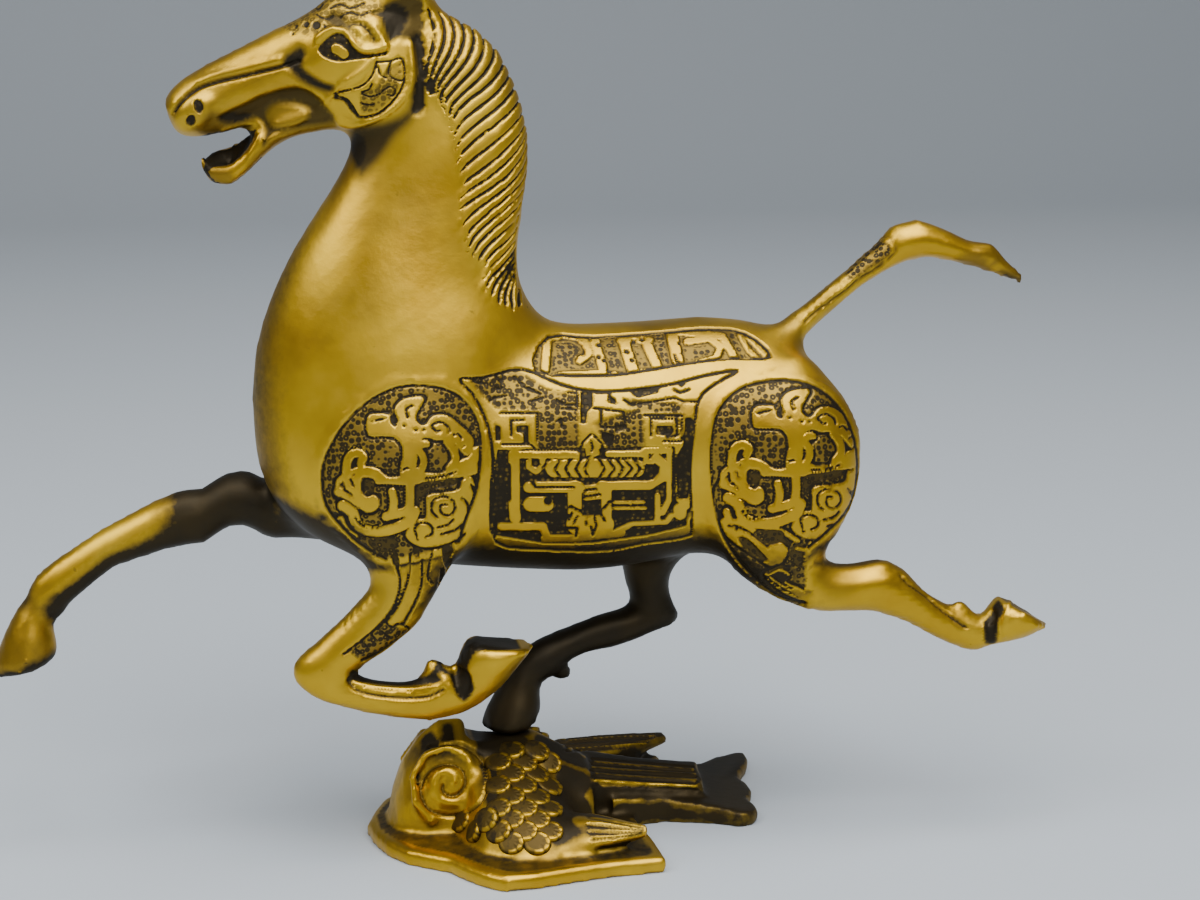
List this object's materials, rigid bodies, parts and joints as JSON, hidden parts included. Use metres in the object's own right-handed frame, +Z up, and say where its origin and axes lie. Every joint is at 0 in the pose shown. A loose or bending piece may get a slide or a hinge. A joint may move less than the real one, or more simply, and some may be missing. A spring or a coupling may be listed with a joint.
{
  "type": "running horse ornament",
  "caption": "Cast brass ornament of a running horse with carved panels, one hind hoof resting on a plinth of scrolled cloud.",
  "frame": {"origin": "centre of the resting area on the underside of the plinth", "axes": "+X from the horse's nose to its tail, +Y to the horse's far side, +Z up"},
  "size_m": [0.3035, 0.0982, 0.2593],
  "materials": {
    "polished_brass": "polished",
    "aged_brass": "satin"
  },
  "bodies": {
    "root": {"horse": "polished_brass", "plinth": "aged_brass"}
  },
  "joints": []
}
